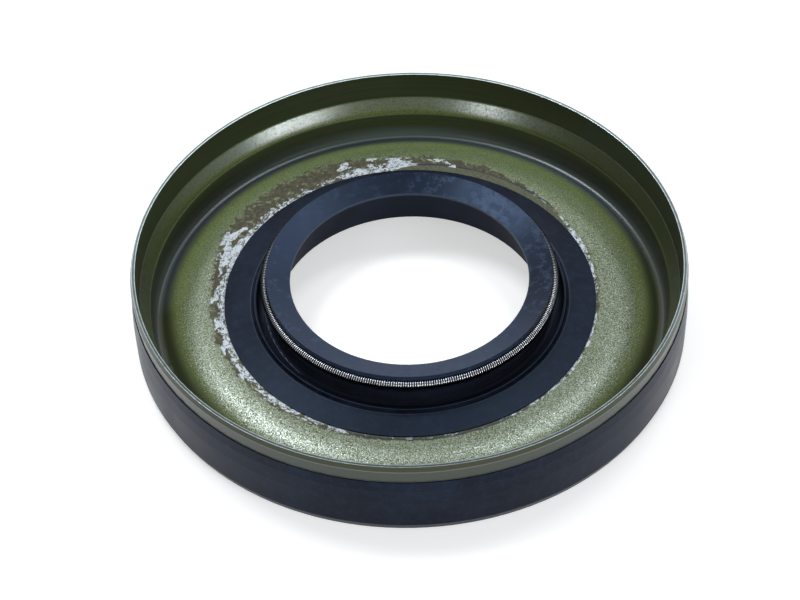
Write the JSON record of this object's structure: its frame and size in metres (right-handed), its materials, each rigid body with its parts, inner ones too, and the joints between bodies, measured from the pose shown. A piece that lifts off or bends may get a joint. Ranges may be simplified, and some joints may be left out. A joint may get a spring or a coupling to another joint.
{
  "type": "radial shaft seal",
  "caption": "Spring-loaded radial shaft seal: stepped steel case, rubber-covered outside wall, moulded sealing lip and garter spring.",
  "frame": {"origin": "on the shaft's axis, at the flat rubber heel that the seal stands on", "axes": "+Z along the shaft's axis from the heel towards the open, lubricant side; the seal is a body of revolution, so +X and +Y are any two radial directions at right angles"},
  "size_m": [0.0802, 0.0802, 0.013],
  "materials": {
    "primed_steel": "olive-green primer with a fine grain",
    "black_rubber": "moulded, satin blue-black",
    "spring_steel": "bright drawn wire"
  },
  "bodies": {
    "root": {"steel_case": "primed_steel", "rubber_body": "black_rubber", "garter_spring": "spring_steel"}
  },
  "joints": []
}
